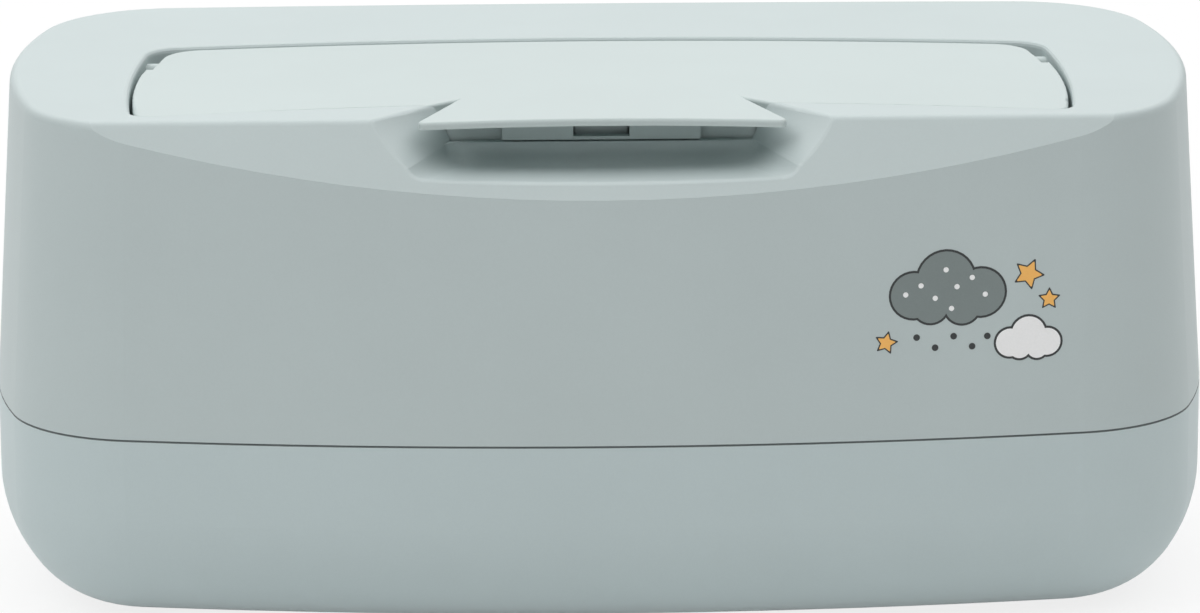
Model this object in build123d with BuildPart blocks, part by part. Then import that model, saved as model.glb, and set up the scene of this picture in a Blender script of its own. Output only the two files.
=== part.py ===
from build123d import *
from math import cos, pi, radians, sin, sqrt, tan
import os

# Baby wipes box: a tray, a lift-off cover with a hinged flap, seals, feet and a weighted press plate.
# +X runs along the length, -Y is the front with the scoop, +Z is up. The origin is on the ground below the middle.

os.makedirs("parts", exist_ok=True)

# Overall size
length = 225.0
depth = 114.0
tray_height = 36.7
cover_height = 58.6
foot_proud = 0.6

# Plan outline: bowed long sides, bowed ends and round corners
front_radius = 523.0
back_radius = 2600.0
end_radius = 122.0
front_corner = 26.0
back_corner = 28.6

# Mouldings
tray_draft = 0.6
cover_draft = 3.0
tray_round = 21.0
deck_round = 1.6
wall = 2.2
inner_wall = 1.8
parting_round = 0.2

# Slanted facet below the front edge of the deck
facet_start = 43.9
facet_angle = 39.7
facet_round = 2.4
least_round = 0.5

# Tongue and seal in the parting joint
tongue_height = 6.0
tongue_wall = 1.8
tongue_gap = 0.6
tongue_root = 3.0
tongue_tip_round = 0.5
groove_depth = 0.9
groove_height = 2.2
groove_rise = 2.4
seal_proud = 0.05

# Feet
foot_radius = 6.0
foot_thickness = 1.6
foot_fit = 0.1
foot_spacing_x = 140.0
foot_spacing_y = 46.0

# Flap recess and flap
flap_drop = 0.4
flap_gap = 0.6
flap_plate = 1.8
flap_half = 86.2
flap_side_radius = 142.0
flap_side_y = -21.0
flap_front_y = -29.9
flap_front_radius = 408.0
flap_back_y = 22.0
flap_back_radius = 554.0
flap_front_round = 3.0
flap_back_round = 8.0
recess_back_round = 6.0
recess_side_radius = 200.0
hinge_step_y = 1.0
hinge_step = 1.4
skirt_wall = 1.5
skirt_depth = 7.1
recess_depth = 16.0
recess_edge = 0.9
recess_edge_steps = 3
flap_edge_round = 0.6

# Pull tab
tab_root_half = 26.5
tab_root_y = 26.4
tab_tip_half = 34.4
tab_tip_y = 45.2
tab_front_bow = 2.6
tab_tip_round = 1.3
tab_thickness = 1.35
scoop_side_half = 45.0
scoop_side_y = 42.4

# Finger scoop, by its cross-sections at the back and out in front of the facet
scoop_back_y = 28.0
scoop_end_y = 32.6
scoop_back_half_top = 27.5
scoop_back_half_low = 25.5
scoop_back_low_side = 10.8
scoop_back_low_middle = 11.5
scoop_back_round = 5.0
scoop_front_y = 60.0
scoop_front_half_top = 57.5
scoop_front_half_low = 38.0
scoop_front_low_side = 8.8
scoop_front_low_middle = 9.6
scoop_front_round = 9.1
scoop_rim_round = 1.2
scoop_bowl_round = 3.6
edge_tolerance = 0.08

# Catch between the flap and the wall behind the scoop
low_wall_drop = 7.0
catch_half = 18.2
catch_wall = 1.5
catch_gap = 0.3
catch_bar = 0.6
window_half = 5.15
window_height = 3.2
hook_side_gap = 0.3
hook_wall = 1.3
hook_gap = 1.3
hook_drop = 3.4

# Hinge
hinge_y = 11.0
hinge_drop = 3.2
stub_radius = 1.5
stub_fit = 0.06
ear_radius = 2.7
ear_wall = 2.4
ear_half = 79.0
stub_chamfer = 0.4
boss_radius = 3.4
boss_reach = 1.8

# Dispensing opening with its raised collar
opening_length = 92.0
opening_width = 21.0
opening_y = -11.0
collar_wall = 1.6
collar_height = 11.0
collar_round = 0.5

# Ring under the flap
ring_wall = 1.2
ring_depth = 1.4
flap_seal_wall = 3.0
flap_seal_gap = 0.3

# Press plate and its weights
plate_length = 164.0
plate_width = 74.0
plate_corner = 18.0
plate_thickness = 2.0
plate_rim_height = 6.0
plate_rim_wall = 1.8
plate_draft = 5.0
slot_length = 74.0
slot_width = 14.0
slot_lip = 1.6
slot_lip_height = 3.0
weight_length = 104.0
weight_width = 13.0
weight_thickness = 4.0
weight_y = 21.0
weight_fit = 0.2
weight_round = 0.8
pocket_wall = 1.4
pocket_height = 2.6
clip_width = 8.0
clip_lip = 0.8
clip_height = 1.2

# Ribs on the tray's floor
floor_rib_height = 0.8
floor_rib_width = 3.0
floor_rib_round = 1.35
floor_rib_length = 56.0
floor_rib_places = (48.0, 70.0)

# Heights that follow from the sizes above
tray_bottom = foot_proud
parting_z = tray_bottom + tray_height
deck_z = parting_z + cover_height
flap_z = deck_z - flap_drop
recess_floor = deck_z - recess_depth
low_wall_z = deck_z - low_wall_drop
hinge_z = deck_z - hinge_drop
collar_z = recess_floor + collar_height
tray_floor = tray_bottom + wall
plate_z = tray_floor + floor_rib_height
plate_top = plate_z + plate_thickness
plate_under = flap_z - flap_plate
tongue_inset = wall + tongue_gap
seal_inset = tongue_inset + groove_depth
groove_z = parting_z + groove_rise
low_wall_y = flap_front_y - flap_gap - inner_wall
catch_z = low_wall_z + catch_gap
hook_half = window_half - hook_side_gap
side_run = sqrt(recess_side_radius**2 - (hinge_y - flap_side_y) ** 2)
stub_end = flap_half - recess_side_radius + side_run + flap_gap + inner_wall


def quarter_arcs(long_radius, corner, inset, side):
    """Three tangent arcs from the middle of a long side round its corner to the middle of the end."""
    long_centre = Vector(0, side * (depth / 2 - long_radius))
    end_centre = Vector(length / 2 - end_radius, 0)
    to_long = long_radius - corner
    to_end = end_radius - corner
    span = (end_centre - long_centre).length
    along = (to_long**2 - to_end**2 + span**2) / (2 * span)
    across = sqrt(to_long**2 - along**2)
    direction = (end_centre - long_centre).normalized()
    normal = Vector(-direction.Y, direction.X)
    centres = [long_centre + direction * along + normal * across * turn for turn in (1, -1)]
    corner_centre = max(centres, key=lambda point: point.X + side * point.Y)
    from_long = (corner_centre - long_centre).normalized()
    from_end = (corner_centre - end_centre).normalized()
    rays = [Vector(0, side), from_long, from_end, Vector(1, 0)]
    circles = [(long_centre, long_radius), (corner_centre, corner), (end_centre, end_radius)]
    arcs = []
    for (centre, radius), start, end in zip(circles, rays[:-1], rays[1:]):
        middle = (start + end).normalized()
        arcs.append([centre + ray * (radius - inset) for ray in (start, middle, end)])
    return arcs


def outline(inset=0.0):
    """Plan outline of the box at the parting line, drawn in by an inset."""
    with BuildSketch(mode=Mode.PRIVATE) as plan:
        with BuildLine():
            for long_radius, corner, side in ((front_radius, front_corner, -1), (back_radius, back_corner, 1)):
                for start, middle, end in quarter_arcs(long_radius, corner, inset, side):
                    ThreePointArc(start, middle, end)
            mirror(about=Plane.YZ)
        make_face()
    return plan.sketch


def flap_outline(back_round, grow=0.0, side_step=0.0, side_radius=flap_side_radius):
    """Plan of the flap without its tab, let out by an amount: four arcs with round corners."""
    with BuildSketch(mode=Mode.PRIVATE) as plan:
        with Locations((0, flap_back_y - flap_back_radius)):
            Circle(flap_back_radius + grow)
        for side in (-1, 1):
            with Locations((side * (flap_half - side_step - side_radius), flap_side_y)):
                Circle(side_radius + grow, mode=Mode.INTERSECT)
        with Locations((0, flap_front_y - flap_front_radius)):
            Circle(flap_front_radius - grow, mode=Mode.SUBTRACT)
        fillet(plan.vertices().group_by(Axis.Y)[0], flap_front_round + grow)
        fillet(plan.vertices().group_by(Axis.Y)[-1], back_round + grow)
    return plan.sketch


def recess_outline(grow=0.0):
    """Plan of the recess, let out by an amount: it leaves a gap round the flap that widens towards the back."""
    return flap_outline(recess_back_round, flap_gap + grow, side_radius=recess_side_radius)


def cover_form(inset=0.0):
    """Outer form of the cover, or its cavity when drawn in by the wall."""
    slope = radians(facet_angle)
    top = deck_z - inset
    start_y = -facet_start + inset * (1 - sin(slope)) / cos(slope)
    drop = depth
    with BuildPart(mode=Mode.PRIVATE) as form:
        with BuildSketch(Plane.XY.offset(parting_z)):
            add(outline(inset))
        extrude(amount=top - parting_z, taper=cover_draft)
        fillet(form.faces().sort_by(Axis.Z)[-1].edges(), max(deck_round - inset, least_round))
        with BuildSketch(Plane.YZ) as profile:
            with BuildLine():
                Polyline(
                    (start_y - drop * tan(slope), top - drop),
                    (start_y, top),
                    (depth, top),
                    (depth, top - drop),
                    close=True,
                )
            make_face()
            fillet(profile.vertices().group_by(Axis.Y)[-1].sort_by(Axis.X)[0], max(facet_round - inset, least_round))
        extrude(amount=length, both=True, mode=Mode.INTERSECT)
    return form.part


def tray_form(inset=0.0):
    """Outer form of the tray, or its cavity when drawn in by the wall."""
    with BuildPart(mode=Mode.PRIVATE) as form:
        with BuildSketch(Plane.XY.offset(parting_z)):
            add(outline(inset))
        extrude(amount=tray_bottom + inset - parting_z, taper=tray_draft)
        fillet(form.faces().sort_by(Axis.Z)[0].edges(), tray_round - inset)
    return form.part


def scoop_profile(plane, half_top, half_low, low_side, low_middle, corner, grow):
    """Cross-section of the scoop at one depth: sloping sides, round corners and a slightly bowed bottom."""
    above = deck_round + inner_wall
    lean = (half_top - half_low) / low_side
    with BuildSketch(plane, mode=Mode.PRIVATE) as profile:
        with BuildLine():
            top = (half_top + lean * above, deck_z + above)
            low = (half_low, deck_z - low_side)
            Polyline(low, top, (-top[0], top[1]), (-low[0], low[1]))
            ThreePointArc(low, (0, deck_z - low_middle), (-low[0], low[1]))
        make_face()
        fillet(profile.vertices().group_by(Axis.Y)[0], corner)
        if grow:
            offset(amount=grow, kind=Kind.INTERSECTION)
    return profile.sketch


def scoop_form(grow=0.0):
    """Space of the finger scoop, or its shell's outside when let out by the wall."""
    back = (scoop_back_half_top, scoop_back_half_low, scoop_back_low_side, scoop_back_low_middle, scoop_back_round)
    front = (
        scoop_front_half_top,
        scoop_front_half_low,
        scoop_front_low_side,
        scoop_front_low_middle,
        scoop_front_round,
    )
    with BuildPart(mode=Mode.PRIVATE) as form:
        add(scoop_profile(Plane.XZ.offset(scoop_back_y), *back, grow))
        add(scoop_profile(Plane.XZ.offset(scoop_front_y), *front, grow))
        loft(ruled=True)
    return form.part


def scoop_space():
    """Space that the finger scoop takes: a bowl in front of the low wall, open above that wall."""
    with BuildPart(mode=Mode.PRIVATE) as bowl:
        add(scoop_form())
        split(bisect_by=Plane.XZ.offset(scoop_end_y), keep=Keep.TOP)
        end_edges = bowl.faces().sort_by(Axis.Y)[-1].edges().sort_by(Axis.Z)[:-1]
        fillet(end_edges, scoop_bowl_round)
    with BuildPart(mode=Mode.PRIVATE) as space:
        add(scoop_form())
        split(bisect_by=Plane.XY.offset(low_wall_z), keep=Keep.TOP)
        add(bowl.part)
    return space.part


def flap_plan(grow=0.0):
    """Plan of the flap without its tab: the outline, stepped in by the hinge and notched beside the tab."""
    with BuildSketch(mode=Mode.PRIVATE) as plan:
        add(flap_outline(flap_back_round, grow))
        with BuildSketch(mode=Mode.SUBTRACT):
            with Locations((0, hinge_step_y + grow)):
                Rectangle(length, depth, align=(Align.CENTER, Align.MIN))
            add(flap_outline(flap_back_round, grow, hinge_step), mode=Mode.SUBTRACT)
        for side in (-1, 1):
            with BuildSketch(mode=Mode.SUBTRACT):
                with BuildLine():
                    Polyline(
                        (side * tab_root_half, -tab_root_y),
                        (side * tab_tip_half, -tab_tip_y),
                        (side * scoop_side_half, -scoop_side_y),
                        close=True,
                    )
                make_face()
                if grow:
                    offset(amount=-grow)
    return plan.sketch


def tab_plan():
    """Plan of the pull tab: it flares from its root to its tips and its front edge is hollow."""
    root = (tab_root_half, -tab_root_y)
    tip = (tab_tip_half, -tab_tip_y)
    with BuildSketch(mode=Mode.PRIVATE) as plan:
        with BuildLine():
            Polyline(tip, root, (-root[0], root[1]), (-tip[0], tip[1]))
            ThreePointArc(tip, (0, tip[1] + tab_front_bow), (-tip[0], tip[1]))
        make_face()
        fillet(plan.vertices().group_by(Axis.Y)[0], tab_tip_round)
    return plan.sketch


def recess_rim():
    """Round top edge of the recess, as the space that it takes out of the deck in narrow bands."""
    turns = [step * pi / 2 / recess_edge_steps for step in range(recess_edge_steps + 1)]
    with BuildPart(mode=Mode.PRIVATE) as rim:
        for start, end in zip(turns[:-1], turns[1:]):
            with BuildPart(mode=Mode.PRIVATE) as band:
                for turn in (start, end):
                    with BuildSketch(Plane.XY.offset(deck_z - recess_edge * (1 - sin(turn)))):
                        add(recess_outline(recess_edge * (1 - cos(turn))))
                loft(ruled=True)
            add(band.part)
    return rim.part


def ring(outer, inner, start, end):
    """Upright ring between two insets of the plan outline."""
    with BuildPart(mode=Mode.PRIVATE) as band:
        with BuildSketch(Plane.XY.offset(start)):
            add(outline(outer))
            add(outline(inner), mode=Mode.SUBTRACT)
        extrude(amount=end - start)
    return band.part


# Tray: a tapered shell with a deep round bottom edge and a tongue that the cover fits over
tray_outer = tray_form()
tray_cavity = tray_form(wall)
tongue = ring(tongue_inset, tongue_inset + tongue_wall, parting_z, parting_z + tongue_height)
tongue_foot = ring(wall / 2, tongue_inset + tongue_wall, parting_z - tongue_root, parting_z)

with BuildPart() as base_tray:
    add(tray_outer)
    add(tray_cavity, mode=Mode.SUBTRACT)
    add(tongue_foot)
    with BuildSketch(Plane.XY.offset(parting_z - tongue_root)):
        add(outline(tongue_inset + tongue_wall))
    extrude(amount=-tongue_root, taper=-45, mode=Mode.SUBTRACT)
    chamfer(base_tray.faces().filter_by(Axis.Z).sort_by(Axis.Z)[-1].outer_wire().edges(), parting_round)
    add(tongue)
    add(ring(tongue_inset, seal_inset, groove_z, groove_z + groove_height), mode=Mode.SUBTRACT)
    with BuildSketch(Plane.XY.offset(tray_floor - wall / 2)):
        with Locations([(side * place, 0) for place in floor_rib_places for side in (-1, 1)]):
            RectangleRounded(floor_rib_width, floor_rib_length, floor_rib_round)
    extrude(amount=wall / 2 + floor_rib_height)
    with BuildSketch(Plane.XY.offset(tray_bottom)):
        with GridLocations(foot_spacing_x, foot_spacing_y, 2, 2):
            Circle(foot_radius + foot_fit)
    extrude(amount=foot_thickness - foot_proud, mode=Mode.SUBTRACT)

# Seal ring that lies in the groove round the tongue
with BuildPart() as base_seal:
    add(ring(tongue_inset - seal_proud, seal_inset, groove_z, groove_z + groove_height))

# Four soft pads in round recesses under the tray
with BuildPart() as non_slip_feet:
    with BuildSketch():
        with GridLocations(foot_spacing_x, foot_spacing_y, 2, 2):
            Circle(foot_radius)
    extrude(amount=foot_thickness)
    chamfer(non_slip_feet.edges().group_by(Axis.Z)[0], foot_proud / 2)

# Cover: a thin shell with the recess for the flap, the finger scoop and the dispensing opening
recess_plan = recess_outline()
recess_wall_plan = recess_outline(inner_wall)
boss_length = 2 * (stub_end + boss_reach)

with BuildPart() as cover_space:
    add(cover_form(wall))
    with BuildSketch(Plane.XY.offset(recess_floor - inner_wall)):
        add(recess_wall_plan)
    extrude(amount=recess_depth + inner_wall, mode=Mode.SUBTRACT)
    with Locations((0, hinge_y, hinge_z)):
        Cylinder(boss_radius, boss_length, rotation=(0, 90, 0), mode=Mode.SUBTRACT)
    add(scoop_form(inner_wall), mode=Mode.SUBTRACT)

with BuildPart() as cover_shell:
    add(cover_form())
    skin = cover_shell.part.shells()[0]
    add(scoop_space(), mode=Mode.SUBTRACT)
    cut_edges = [edge for edge in cover_shell.edges(Select.NEW) if (edge @ 0.5).Y < -scoop_back_y - wall]
    fillet([edge for edge in cut_edges if skin.distance_to(edge @ 0.5) < edge_tolerance], scoop_rim_round)
    with BuildSketch(Plane.XY.offset(recess_floor)):
        add(recess_plan)
    extrude(amount=2 * recess_depth, mode=Mode.SUBTRACT)
    add(recess_rim(), mode=Mode.SUBTRACT)
    chamfer(cover_shell.faces().sort_by(Axis.Z)[0].edges(), parting_round)
    add(cover_space.part, mode=Mode.SUBTRACT)
    with Locations((0, hinge_y, hinge_z)):
        Cylinder(stub_radius + stub_fit, boss_length + 1, rotation=(0, 90, 0), mode=Mode.SUBTRACT)
    with BuildSketch(Plane.XY.offset(recess_floor)):
        with Locations((0, opening_y)):
            SlotOverall(opening_length + 2 * collar_wall, opening_width + 2 * collar_wall)
    extrude(amount=collar_height)
    fillet(cover_shell.faces(Select.LAST).sort_by(Axis.Z)[-1].edges(), collar_round)
    with BuildSketch(Plane.XY.offset(recess_floor - 2 * inner_wall)):
        with Locations((0, opening_y)):
            SlotOverall(opening_length, opening_width)
    extrude(amount=collar_height + 3 * inner_wall, mode=Mode.SUBTRACT)
    with BuildSketch(Plane.XY.offset(recess_floor)):
        with Locations((0, low_wall_y + catch_wall + hook_gap)):
            Rectangle(2 * hook_half, hook_wall, align=(Align.CENTER, Align.MIN))
    extrude(amount=recess_depth - hook_drop)

# Flap: a thin plate with a skirt, a pull tab, the catch skirt, the ring for its seal and two hinge stubs
seal_outer = (opening_length + collar_wall + flap_seal_wall, opening_width + collar_wall + flap_seal_wall)
seal_inner = (opening_length + collar_wall - flap_seal_wall, opening_width + collar_wall - flap_seal_wall)

with BuildPart() as flap:
    with BuildSketch(Plane.XY.offset(plate_under)):
        add(flap_plan())
        add(tab_plan())
    extrude(amount=flap_plate, dir=(0, 0, 1))
    fillet(flap.faces().sort_by(Axis.Z)[-1].edges(), flap_edge_round)
    with BuildSketch(Plane.XZ.offset(-low_wall_y)):
        with Locations((0, plate_under)):
            Rectangle(2 * tab_tip_half, flap_plate - tab_thickness, align=(Align.CENTER, Align.MIN))
    extrude(amount=tab_tip_y, mode=Mode.SUBTRACT)
    with BuildSketch(Plane.XY.offset(plate_under)):
        add(flap_plan())
        add(flap_plan(-skirt_wall), mode=Mode.SUBTRACT)
        with Locations((0, flap_front_y)):
            Rectangle(2 * (window_half + hook_side_gap), 2 * catch_half, mode=Mode.SUBTRACT)
    extrude(amount=skirt_depth - flap_plate, dir=(0, 0, -1))
    with BuildSketch(Plane.XY.offset(plate_under)):
        with Locations((0, opening_y)):
            SlotOverall(seal_outer[0] + 2 * ring_wall, seal_outer[1] + 2 * ring_wall)
            SlotOverall(*seal_outer, mode=Mode.SUBTRACT)
            SlotOverall(*seal_inner)
            SlotOverall(seal_inner[0] - 2 * ring_wall, seal_inner[1] - 2 * ring_wall, mode=Mode.SUBTRACT)
    extrude(amount=ring_depth, dir=(0, 0, -1))
    with BuildSketch(Plane.XZ.offset(-low_wall_y)):
        with Locations((0, catch_z)):
            Rectangle(2 * catch_half, plate_under - catch_z, align=(Align.CENTER, Align.MIN))
    extrude(amount=catch_wall, dir=(0, 1, 0))
    with BuildSketch(Plane.XZ.offset(-low_wall_y)):
        with Locations((0, catch_z + catch_bar)):
            Rectangle(2 * window_half, window_height, align=(Align.CENTER, Align.MIN))
    extrude(amount=catch_wall, dir=(0, 1, 0), mode=Mode.SUBTRACT)
    for side in (-1, 1):
        with BuildSketch(Plane.YZ.offset(side * ear_half)):
            with Locations((hinge_y, hinge_z)):
                Circle(ear_radius)
                Rectangle(2 * ear_radius, plate_under - hinge_z, align=(Align.CENTER, Align.MIN))
        extrude(amount=ear_wall, dir=(-side, 0, 0))
        with BuildSketch(Plane.YZ.offset(side * ear_half)):
            with Locations((hinge_y, hinge_z)):
                Circle(stub_radius)
        extrude(amount=stub_end - ear_half, dir=(side, 0, 0))
        tip = flap.faces(Select.LAST).filter_by(Axis.X).sort_by(Axis((0, 0, 0), (side, 0, 0)))[-1]
        chamfer(tip.edges(), stub_chamfer)

# Soft ring between the ribs under the flap, over the collar
with BuildPart() as flap_seal:
    with BuildSketch(Plane.XY.offset(plate_under)):
        with Locations((0, opening_y)):
            SlotOverall(*seal_outer)
            SlotOverall(*seal_inner, mode=Mode.SUBTRACT)
    extrude(amount=plate_under - collar_z - flap_seal_gap, dir=(0, 0, -1))

# Press plate: a flat plate with a flared rim, a lipped slot and two pockets with end clips for the weights
weight_places = [(0, -weight_y), (0, weight_y)]

with BuildPart() as press_plate:
    with BuildSketch(Plane.XY.offset(plate_z)):
        RectangleRounded(plate_length, plate_width, plate_corner)
    extrude(amount=plate_rim_height, taper=-plate_draft)
    with BuildSketch(Plane.XY.offset(plate_top)):
        RectangleRounded(plate_length - 2 * plate_rim_wall, plate_width - 2 * plate_rim_wall, plate_corner)
    extrude(amount=plate_rim_height, taper=-plate_draft, mode=Mode.SUBTRACT)
    with BuildSketch(Plane.XY.offset(plate_top)):
        SlotOverall(slot_length + 2 * slot_lip, slot_width + 2 * slot_lip)
    extrude(amount=slot_lip_height)
    with BuildSketch(Plane.XY.offset(plate_top)):
        with Locations(weight_places):
            Rectangle(weight_length + 2 * (weight_fit + pocket_wall), weight_width + 2 * (weight_fit + pocket_wall))
            Rectangle(weight_length + 2 * weight_fit, weight_width + 2 * weight_fit, mode=Mode.SUBTRACT)
    extrude(amount=pocket_height)
    with BuildSketch(Plane.XY.offset(plate_top)):
        with Locations(weight_places):
            Rectangle(weight_length + 2 * (weight_fit + pocket_wall), clip_width)
            Rectangle(weight_length + 2 * weight_fit, clip_width, mode=Mode.SUBTRACT)
    extrude(amount=weight_thickness + weight_fit)
    with BuildSketch(Plane.XY.offset(plate_top + weight_thickness + weight_fit)):
        with Locations(weight_places):
            Rectangle(weight_length + 2 * (weight_fit + pocket_wall), clip_width)
            Rectangle(weight_length - 2 * clip_lip, clip_width, mode=Mode.SUBTRACT)
    extrude(amount=clip_height)
    with BuildSketch(Plane.XY.offset(plate_z)):
        SlotOverall(slot_length, slot_width)
    extrude(amount=plate_rim_height, mode=Mode.SUBTRACT)

# Two flat bars that lie in the pockets of the press plate
with BuildPart() as press_weights:
    with BuildSketch(Plane.XY.offset(plate_top)):
        with Locations(weight_places):
            Rectangle(weight_length, weight_width)
    extrude(amount=weight_thickness)
    fillet(press_weights.edges().filter_by(Axis.Z), weight_round)

pieces = {
    "base_tray": base_tray,
    "base_seal": base_seal,
    "non_slip_feet": non_slip_feet,
    "cover_shell": cover_shell,
    "flap": flap,
    "flap_seal": flap_seal,
    "press_plate": press_plate,
    "press_weights": press_weights,
}
for name, piece in pieces.items():
    piece.part.label = name
    export_step(piece.part, f"parts/{name}.step")
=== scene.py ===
import math

import bmesh
import bpy
from mathutils import Matrix, Vector
from mathutils.bvhtree import BVHTree


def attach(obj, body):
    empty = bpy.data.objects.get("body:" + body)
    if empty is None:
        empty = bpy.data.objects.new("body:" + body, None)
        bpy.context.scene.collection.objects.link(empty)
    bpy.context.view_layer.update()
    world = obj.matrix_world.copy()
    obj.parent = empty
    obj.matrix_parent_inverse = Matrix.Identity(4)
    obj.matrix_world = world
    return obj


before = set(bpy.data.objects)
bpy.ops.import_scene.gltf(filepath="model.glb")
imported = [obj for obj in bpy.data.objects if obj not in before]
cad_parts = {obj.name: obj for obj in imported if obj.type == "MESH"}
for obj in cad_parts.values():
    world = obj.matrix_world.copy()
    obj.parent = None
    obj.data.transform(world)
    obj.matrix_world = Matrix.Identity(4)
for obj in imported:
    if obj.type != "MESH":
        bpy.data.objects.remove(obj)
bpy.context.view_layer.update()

MM = 0.001

# Camera, from the photograph's perspective
IMAGE_WIDTH = 1200
FOCAL_PIXELS = 10385.8
SENSOR = 36.0
CAMERA_DISTANCE = 1947.2 * MM
CAMERA_PITCH = math.radians(14.219)
CAMERA_YAW = math.radians(1.079)
CAMERA_ROLL = math.radians(-0.228)
CAMERA_AIM = Vector((0.23, 0.0, 49.37)) * MM

# Light: the surround's strength, each softbox's power in watts, the point they face, the floor's half
# width, and how much of the floor shows plain white
SURROUND = 0.14
CEILING_POWER = 29.0
BACK_POWER = 3.9
LEFT_POWER = 3.9
LAMP_AIM = (0.0, 0.0, 0.05)
FLOOR_REACH = 6.0
FLOOR_GLOW = 0.82

# Colours as the eye reads them, in sRGB
SAGE_COVER = "#bfcbcb"
# The tray is the cover's plastic made a little lighter: painted light standing in for the floor's bounce on
# the base
SAGE_TRAY_WITH_PAINTED_LIGHT = "#c3d1d2"
SAGE_FLAP = "#c1cdcc"
OFF_WHITE = "#e6e9e7"
PALE_SILICONE = "#d5dad8"
GREY_SILICONE = "#8f9b9a"
ROLLED_STEEL = "#b4b6b7"
INK_WHITE = "#fafbfb"
INK_GREY = "#7d8887"
INK_BLACK = "#2b2f30"
INK_ORANGE = "#ffbf66"
PAPER_WHITE = "#fdfdfd"
# Painted shade: the grey of the shadow in the seam between the cover and the tray
SEAM_SHADOW_GREY = "#454d4d"

# Pattern sizes of the finishes. Real spark grain, rolling lines and pinholes are under 0.1 mm, too fine to
# show in the render, so they are drawn as coarse and as deep as they need to show
SPARK_GRAIN = 0.45 * MM
SPARK_RELIEF = 0.02 * MM
FLOW_CLOUD = 38 * MM
DUST_CLOUD = 6 * MM
ROLLING_LINE = 0.5 * MM
ROLLING_RELIEF = 0.01 * MM
ROLLING_STRETCH = 0.04
INK_PINHOLE = 0.4 * MM

# Seam between the cover and the tray: its height, how far its bevels reach, their slope and the range that
# counts as that slope, and how strongly painted shade, standing in for the gap's shadow, darkens them
SEAM_Z = 37.3 * MM
SEAM_REACH = 0.21 * MM
BEVEL_SLOPE = 0.7
BEVEL_RANGE = 0.2
SEAM_SHADE_AMOUNT = 0.85

# Print on the front wall: its middle, the step from film to film, the ink's thickness and outlines, the
# strips it is bent in, how near a corner may be to a strip's edge and count as on it, and where rays start
PRINT_X = 66.0 * MM
PRINT_Z = 61.0 * MM
FILM = 0.03 * MM
INK_THICKNESS = 0.015 * MM
INK_OUTLINE = 0.42 * MM
STAR_OUTLINE = 1.3 * INK_OUTLINE
STRIP = 1.0 * MM
STRIP_SLACK = 0.02 * MM
RAY_START = -1.0


def linear(colour):
    """A hex sRGB colour as the linear values that the shaders take."""
    values = [int(colour[i : i + 2], 16) / 255 for i in (1, 3, 5)]
    return [v / 12.92 if v <= 0.04045 else ((v + 0.055) / 1.055) ** 2.4 for v in values] + [1]


def shades(colour, spread):
    """A colour made a little darker and a little lighter, for mottling between the two."""
    return [[min(v * share, 1) for v in linear(colour)[:3]] + [1] for share in (1 - spread, 1 + spread)]


def add_node(tree, kind, links=None, values=None, **settings):
    """Adds a shader node, sets its properties and sockets, and links sockets into it."""
    made = tree.nodes.new(kind)
    for name, value in settings.items():
        setattr(made, name, value)
    for socket, value in (values or {}).items():
        made.inputs[socket].default_value = value
    for socket, source in (links or {}).items():
        tree.links.new(source, made.inputs[socket])
    return made


def new_material(name):
    """An empty node material with its output node."""
    material = bpy.data.materials.new(name)
    material.use_nodes = True
    tree = material.node_tree
    tree.nodes.clear()
    return material, tree, tree.nodes.new("ShaderNodeOutputMaterial")


def painted_seam_shade(tree, place, colour):
    """Painted shade on the seam's bevels, a thin dark line round the box for the gap's shadow."""
    height = add_node(tree, "ShaderNodeSeparateXYZ", {"Vector": place}).outputs["Z"]
    facing = add_node(tree, "ShaderNodeNewGeometry").outputs["True Normal"]
    upward = add_node(tree, "ShaderNodeSeparateXYZ", {"Vector": facing}).outputs["Z"]
    slope = add_node(tree, "ShaderNodeMath", {0: upward}, operation="ABSOLUTE").outputs[0]
    near_seam = {1: SEAM_Z, 2: SEAM_REACH}
    on_bevel = {1: BEVEL_SLOPE, 2: BEVEL_RANGE}
    beside = add_node(tree, "ShaderNodeMath", {0: height}, near_seam, operation="COMPARE").outputs[0]
    bevel = add_node(tree, "ShaderNodeMath", {0: slope}, on_bevel, operation="COMPARE").outputs[0]
    both = add_node(tree, "ShaderNodeMath", {0: beside, 1: bevel}, operation="MULTIPLY").outputs[0]
    share = add_node(tree, "ShaderNodeMath", {0: both}, {1: SEAM_SHADE_AMOUNT}, operation="MULTIPLY").outputs[0]
    return add_node(
        tree,
        "ShaderNodeMix",
        {"Factor": share, "A": colour},
        {"B": linear(SEAM_SHADOW_GREY)},
        data_type="RGBA",
    ).outputs["Result"]


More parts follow.
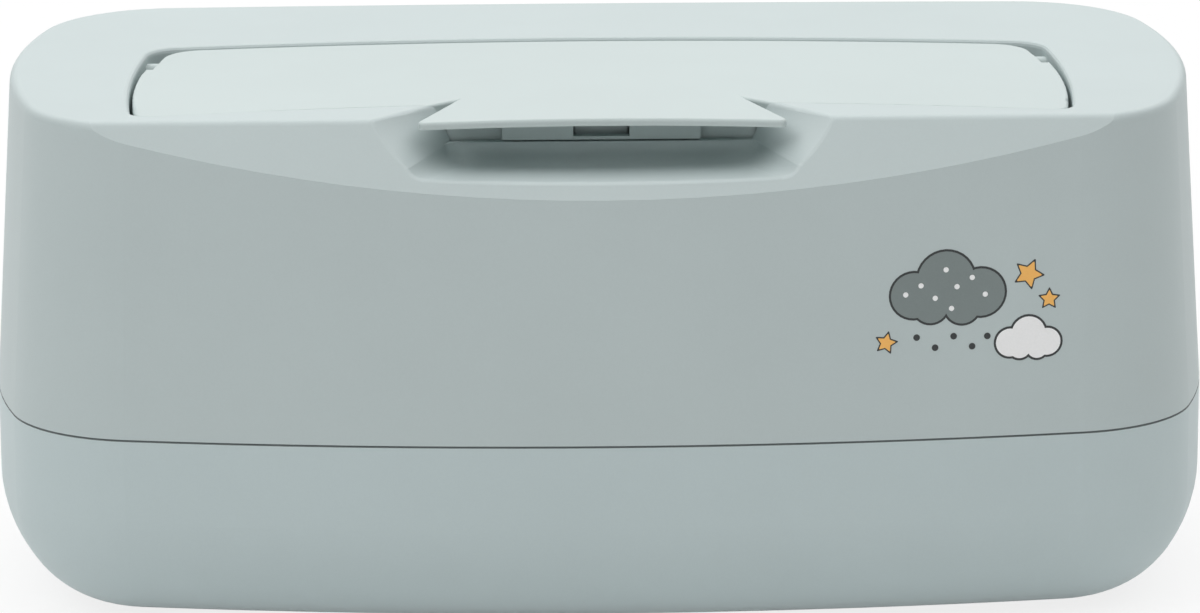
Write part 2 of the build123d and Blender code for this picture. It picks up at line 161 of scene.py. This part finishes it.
def moulded_plastic(name, colour, roughness=0.5, seam=False, scatter=0.05):
    """Injection-moulded polypropylene: spark-eroded grain gives a dull, even sheen over faint clouds."""
    material, tree, output = new_material(name)
    place = add_node(tree, "ShaderNodeTexCoord").outputs["Object"]
    flow = {"Scale": 1 / FLOW_CLOUD, "Detail": 3.0, "Roughness": 0.6}
    spark = {"Scale": 1 / SPARK_GRAIN, "Detail": 2.0, "Roughness": 0.7}
    clouds = add_node(tree, "ShaderNodeTexNoise", {"Vector": place}, flow).outputs["Fac"]
    grain = add_node(tree, "ShaderNodeTexNoise", {"Vector": place}, spark).outputs["Fac"]
    dark, light = shades(colour, spread=0.035)
    tone = add_node(tree, "ShaderNodeMix", {"Factor": clouds}, {"A": dark, "B": light}, data_type="RGBA")
    fleck = add_node(tree, "ShaderNodeMapRange", {"Value": grain}, {"To Min": 0.975, "To Max": 1.025})
    flecked = add_node(
        tree,
        "ShaderNodeVectorMath",
        {0: tone.outputs["Result"], "Scale": fleck.outputs["Result"]},
        operation="SCALE",
    )
    shade = flecked.outputs["Vector"]
    # Cover and tray: painted shade darkens the seam's bevels into a thin line, standing in for the gap's
    # shadow
    if seam:
        shade = painted_seam_shade(tree, place, shade)
    dull = add_node(
        tree,
        "ShaderNodeMapRange",
        {"Value": grain},
        {"To Min": roughness - scatter, "To Max": roughness + scatter},
    )
    relief = add_node(
        tree, "ShaderNodeBump", {"Height": grain}, {"Strength": 0.35, "Distance": SPARK_RELIEF}
    )
    shader = add_node(
        tree,
        "ShaderNodeBsdfPrincipled",
        {
            "Base Color": shade,
            "Roughness": dull.outputs["Result"],
            "Normal": relief.outputs["Normal"],
        },
        {"IOR": 1.49},
    )
    tree.links.new(shader.outputs["BSDF"], output.inputs["Surface"])
    return material


def cast_silicone(name, colour):
    """Cast silicone rubber: soft and a little see-through at thin edges, under a dusty sheen."""
    material, tree, output = new_material(name)
    place = add_node(tree, "ShaderNodeTexCoord").outputs["Object"]
    dust = add_node(
        tree, "ShaderNodeTexNoise", {"Vector": place}, {"Scale": 1 / DUST_CLOUD, "Detail": 4.0}
    ).outputs["Fac"]
    dark, light = shades(colour, spread=0.06)
    tone = add_node(tree, "ShaderNodeMix", {"Factor": dust}, {"A": dark, "B": light}, data_type="RGBA")
    dull = add_node(tree, "ShaderNodeMapRange", {"Value": dust}, {"To Min": 0.55, "To Max": 0.72})
    shader = add_node(
        tree,
        "ShaderNodeBsdfPrincipled",
        {"Base Color": tone.outputs["Result"], "Roughness": dull.outputs["Result"]},
        {"IOR": 1.41, "Subsurface Weight": 0.1, "Subsurface Scale": 1.5 * MM, "Sheen Weight": 0.15},
    )
    tree.links.new(shader.outputs["BSDF"], output.inputs["Surface"])
    return material


def rolled_steel(name, colour):
    """Rolled stainless bar: fine lines along its length, seen in its shine and relief."""
    material, tree, output = new_material(name)
    place = add_node(tree, "ShaderNodeTexCoord").outputs["Object"]
    along = add_node(tree, "ShaderNodeMapping", {"Vector": place}, {"Scale": (ROLLING_STRETCH, 1.0, 1.0)})
    stretched = along.outputs["Vector"]
    lines = add_node(
        tree, "ShaderNodeTexNoise", {"Vector": stretched}, {"Scale": 1 / ROLLING_LINE, "Detail": 3.0}
    ).outputs["Fac"]
    dark, light = shades(colour, spread=0.1)
    tone = add_node(tree, "ShaderNodeMix", {"Factor": lines}, {"A": dark, "B": light}, data_type="RGBA")
    dull = add_node(tree, "ShaderNodeMapRange", {"Value": lines}, {"To Min": 0.28, "To Max": 0.42})
    relief = add_node(
        tree, "ShaderNodeBump", {"Height": lines}, {"Strength": 0.3, "Distance": ROLLING_RELIEF}
    )
    shader = add_node(
        tree,
        "ShaderNodeBsdfPrincipled",
        {
            "Base Color": tone.outputs["Result"],
            "Roughness": dull.outputs["Result"],
            "Normal": relief.outputs["Normal"],
        },
        {"Metallic": 1.0},
    )
    tree.links.new(shader.outputs["BSDF"], output.inputs["Surface"])
    return material


def pad_ink(name, colour):
    """Pad-printed ink: a thin even film, a little glossier than the plastic, with pinhole specks."""
    material, tree, output = new_material(name)
    place = add_node(tree, "ShaderNodeTexCoord").outputs["Object"]
    specks = add_node(
        tree, "ShaderNodeTexNoise", {"Vector": place}, {"Scale": 1 / INK_PINHOLE, "Detail": 2.0}
    ).outputs["Fac"]
    dark, light = shades(colour, spread=0.05)
    tone = add_node(tree, "ShaderNodeMix", {"Factor": specks}, {"A": dark, "B": light}, data_type="RGBA")
    dull = add_node(tree, "ShaderNodeMapRange", {"Value": specks}, {"To Min": 0.38, "To Max": 0.46})
    shader = add_node(
        tree,
        "ShaderNodeBsdfPrincipled",
        {"Base Color": tone.outputs["Result"], "Roughness": dull.outputs["Result"]},
        {"IOR": 1.5},
    )
    tree.links.new(shader.outputs["BSDF"], output.inputs["Surface"])
    return material


def dress_nodes():
    """Gives each carried-over solid its finish."""
    finishes = {
        "cover_shell": moulded_plastic("moulded_polypropylene_cover", SAGE_COVER, seam=True),
        # the tray's sage is lightened as painted light for the floor's bounce
        "base_tray": moulded_plastic("moulded_polypropylene_tray", SAGE_TRAY_WITH_PAINTED_LIGHT, seam=True),
        "flap": moulded_plastic("moulded_polypropylene_flap", SAGE_FLAP),
        "press_plate": moulded_plastic("moulded_polypropylene_plate", OFF_WHITE, roughness=0.42),
        "base_seal": cast_silicone("cast_silicone_seal", PALE_SILICONE),
        "flap_seal": cast_silicone("cast_silicone_ring", PALE_SILICONE),
        "non_slip_feet": cast_silicone("cast_silicone_feet", GREY_SILICONE),
        "press_weights": rolled_steel("rolled_stainless_bar", ROLLED_STEEL),
    }
    for name, material in finishes.items():
        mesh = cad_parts[name].data
        mesh.materials.clear()
        mesh.materials.append(material)


def cover_surface():
    """The cover's mesh as a tree that finds where its front wall lies."""
    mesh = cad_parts["cover_shell"].data
    points = [v.co for v in mesh.vertices]
    return BVHTree.FromPolygons(points, [p.vertices for p in mesh.polygons])


def lay_on_wall(shape, surface, layer):
    """Cuts a flat shape into narrow strips, lays it on the front wall and gives it the ink's thickness."""
    left = min(v.co.x for v in shape.verts)
    right = max(v.co.x for v in shape.verts)
    for i in range(1, math.ceil((right - left) / STRIP)):
        geometry = shape.verts[:] + shape.edges[:] + shape.faces[:]
        cut = (left + i * STRIP, 0, 0)
        bmesh.ops.bisect_plane(shape, geom=geometry, dist=STRIP_SLACK, plane_co=cut, plane_no=(1, 0, 0))
    for vertex in shape.verts:
        in_front = Vector((PRINT_X + vertex.co.x, RAY_START, PRINT_Z + vertex.co.z))
        place = surface.ray_cast(in_front, Vector((0, 1, 0)))[0]
        vertex.co = place - Vector((0, FILM * layer, 0))
    bmesh.ops.recalc_face_normals(shape, faces=shape.faces[:])
    bmesh.ops.solidify(shape, geom=shape.faces[:], thickness=INK_THICKNESS)
    bmesh.ops.recalc_face_normals(shape, faces=shape.faces[:])


def stand_up(shape, x, z, turn=0.0):
    """Stands a flat shape up in the wall's plane and moves it to its place in the print."""
    upright = Matrix.Rotation(math.pi / 2, 3, "X") @ Matrix.Rotation(turn, 3, "Z")
    bmesh.ops.rotate(shape, verts=shape.verts[:], matrix=upright)
    bmesh.ops.translate(shape, verts=shape.verts[:], vec=(x * MM, 0, z * MM))


def disc(x, z, radius, grow=0.0, points=32):
    """A flat disc of a radius in millimetres."""
    shape = bmesh.new()
    bmesh.ops.create_circle(shape, cap_ends=True, segments=points, radius=radius * MM + grow)
    stand_up(shape, x, z)
    return shape


def star(x, z, radius, turn, grow=0.0, waist=0.5, arms=5, blunt=0.12):
    """A flat star with blunt arms, of an outer radius in millimetres."""
    reach = radius * MM + grow
    shape = bmesh.new()
    bmesh.ops.create_circle(shape, cap_ends=True, segments=2 * arms, radius=reach)
    corners = list(shape.verts)
    bmesh.ops.scale(shape, verts=corners[::2], vec=(waist, waist, waist))
    bmesh.ops.bevel(
        shape,
        geom=corners[1::2],
        offset=reach * blunt,
        affect="VERTICES",
        segments=3,
        profile=0.5,
        material=-1,
    )
    stand_up(shape, x, z, turn)
    return shape


def make_print(name, shapes, material, surface, layer):
    """Joins flat shapes of one ink into one piece on the wall, each a hair above the one before."""
    whole = bmesh.new()
    part = bpy.data.meshes.new("print_part")
    for i, shape in enumerate(shapes):
        rise = i / len(shapes) / 2
        lay_on_wall(shape, surface, layer + rise)
        shape.to_mesh(part)
        shape.free()
        whole.from_mesh(part)
    bpy.data.meshes.remove(part)
    mesh = bpy.data.meshes.new(name)
    whole.to_mesh(mesh)
    whole.free()
    mesh.materials.append(material)
    piece = bpy.data.objects.new(name, mesh)
    bpy.context.scene.collection.objects.link(piece)
    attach(piece, "cover")


def print_front():
    """A small generic sky on the front wall: a dark and a pale cloud, drops and stars, in outlined inks.

    Puffs are given by their place and radius in millimetres, drops and dots by their place, and stars by
    their place, radius and turn.
    """
    surface = cover_surface()
    base, fill, top = 1.0, 2.0, 3.0
    white = pad_ink("pad_ink_white", INK_WHITE)
    grey = pad_ink("pad_ink_grey", INK_GREY)
    black = pad_ink("pad_ink_black", INK_BLACK)
    orange = pad_ink("pad_ink_orange", INK_ORANGE)
    dark_cloud = [(-9.5, 3.2, 4.2), (-3.6, 6.0, 5.2), (2.8, 3.4, 4.4), (-6.4, 1.2, 3.2), (-0.6, 0.9, 3.2)]
    pale_cloud = [(8.2, -6.2, 2.6), (11.6, -4.6, 3.1), (15, -6.3, 2.5), (10, -7.2, 2.0), (13.2, -7.4, 1.9)]
    drops = [(-9.0, -4.6), (-5.6, -6.6), (-2.2, -4.6), (1.2, -6.6), (4.0, -4.8)]
    dots = [(-11, 3.4), (-8.2, 5), (-5.6, 2.6), (-3.6, 7.8), (-1.6, 4.6), (1.2, 6.2), (3.6, 3), (-2.6, 0.6)]
    stars = [(11.6, 6.4, 2.6, 0.2), (15.4, 1.6, 1.7, 0.6), (-14.6, -5.4, 1.8, 0.4)]
    edges = [disc(*puff, grow=INK_OUTLINE) for puff in dark_cloud + pale_cloud]
    make_print("print_outline", edges, black, surface, base)
    make_print("print_grey_cloud", [disc(*puff) for puff in dark_cloud], grey, surface, fill)
    make_print("print_white_cloud", [disc(*puff) for puff in pale_cloud], white, surface, fill)
    make_print("print_white_dots", [disc(*dot, radius=0.5, points=12) for dot in dots], white, surface, top)
    make_print("print_drops", [disc(*drop, radius=0.62, points=14) for drop in drops], black, surface, base)
    edges = [star(*place, grow=STAR_OUTLINE) for place in stars]
    make_print("print_star_outline", edges, black, surface, base)
    make_print("print_stars", [star(*place) for place in stars], orange, surface, fill)


def make_camera():
    """The camera at the photograph's distance, angle and roll."""
    forward = Vector(
        (
            math.sin(CAMERA_YAW) * math.cos(CAMERA_PITCH),
            math.cos(CAMERA_YAW) * math.cos(CAMERA_PITCH),
            -math.sin(CAMERA_PITCH),
        )
    )
    level = Vector((math.cos(CAMERA_YAW), -math.sin(CAMERA_YAW), 0))
    upright = level.cross(forward)
    right = level * math.cos(CAMERA_ROLL) + upright * math.sin(CAMERA_ROLL)
    up = upright * math.cos(CAMERA_ROLL) - level * math.sin(CAMERA_ROLL)
    data = bpy.data.cameras.new("camera")
    data.sensor_width = SENSOR
    data.sensor_fit = "HORIZONTAL"
    data.lens = FOCAL_PIXELS * SENSOR / IMAGE_WIDTH
    camera = bpy.data.objects.new("camera", data)
    bpy.context.scene.collection.objects.link(camera)
    turn = Matrix((right, up, -forward)).transposed().to_4x4()
    camera.matrix_world = Matrix.Translation(CAMERA_AIM - forward * CAMERA_DISTANCE) @ turn
    bpy.context.scene.camera = camera


def softbox(name, place, width, height, power):
    """A rectangular area lamp that points at the box."""
    data = bpy.data.lights.new(name, "AREA")
    data.shape = "RECTANGLE"
    data.size = width
    data.size_y = height
    data.energy = power
    lamp = bpy.data.objects.new(name, data)
    lamp.location = place
    lamp.rotation_euler = (Vector(LAMP_AIM) - Vector(place)).to_track_quat("-Z", "Y").to_euler()
    bpy.context.scene.collection.objects.link(lamp)


def looked_at(tree):
    """One for rays from the camera and for mirrored or refracted rays, otherwise nought."""
    path = add_node(tree, "ShaderNodeLightPath")
    seen = path.outputs["Is Camera Ray"]
    for name in ("Is Glossy Ray", "Is Transmission Ray"):
        other = path.outputs[name]
        seen = add_node(tree, "ShaderNodeMath", {0: seen, 1: other}, operation="MAXIMUM").outputs[0]
    return seen


def make_floor():
    """White paper floor that keeps a light shadow and runs into the white background."""
    shape = bmesh.new()
    bmesh.ops.create_grid(shape, x_segments=1, y_segments=1, size=FLOOR_REACH)
    mesh = bpy.data.meshes.new("floor")
    shape.to_mesh(mesh)
    shape.free()
    floor = bpy.data.objects.new("floor", mesh)
    bpy.context.scene.collection.objects.link(floor)
    material, tree, output = new_material("white_paper")
    paper = add_node(
        tree,
        "ShaderNodeBsdfPrincipled",
        values={"Base Color": linear(PAPER_WHITE), "Roughness": 0.9, "Specular IOR Level": 0.1},
    )
    glow = add_node(tree, "ShaderNodeEmission", values={"Color": (1, 1, 1, 1), "Strength": 1.0})
    share = add_node(tree, "ShaderNodeMath", {0: looked_at(tree)}, {1: FLOOR_GLOW}, operation="MULTIPLY")
    both = add_node(
        tree,
        "ShaderNodeMixShader",
        {"Fac": share.outputs[0], 1: paper.outputs["BSDF"], 2: glow.outputs["Emission"]},
    )
    tree.links.new(both.outputs["Shader"], output.inputs["Surface"])
    mesh.materials.append(material)


def make_surround():
    """An even pale surround that shows white."""
    world = bpy.data.worlds.new("surround")
    bpy.context.scene.world = world
    world.use_nodes = True
    tree = world.node_tree
    tree.nodes.clear()
    output = tree.nodes.new("ShaderNodeOutputWorld")
    strength = add_node(
        tree, "ShaderNodeMapRange", {"Value": looked_at(tree)}, {"To Min": SURROUND, "To Max": 1.0}
    )
    light = add_node(
        tree, "ShaderNodeBackground", {"Strength": strength.outputs["Result"]}, {"Color": (1, 1, 1, 1)}
    )
    tree.links.new(light.outputs["Background"], output.inputs["Surface"])


def make_lamps():
    """A wide soft ceiling over the box, and softboxes behind it and to its left."""
    softbox("ceiling_softbox", (0, 0, 1.25), width=3.0, height=3.0, power=CEILING_POWER)
    softbox("back_softbox", (0, 1.0, 1.0), width=1.4, height=0.8, power=BACK_POWER)
    softbox("left_softbox", (-1.0, -0.6, 1.2), width=1.0, height=1.0, power=LEFT_POWER)


dress_nodes()
print_front()
make_camera()
make_floor()
make_surround()
make_lamps()
bpy.context.scene.view_settings.view_transform = "Standard"
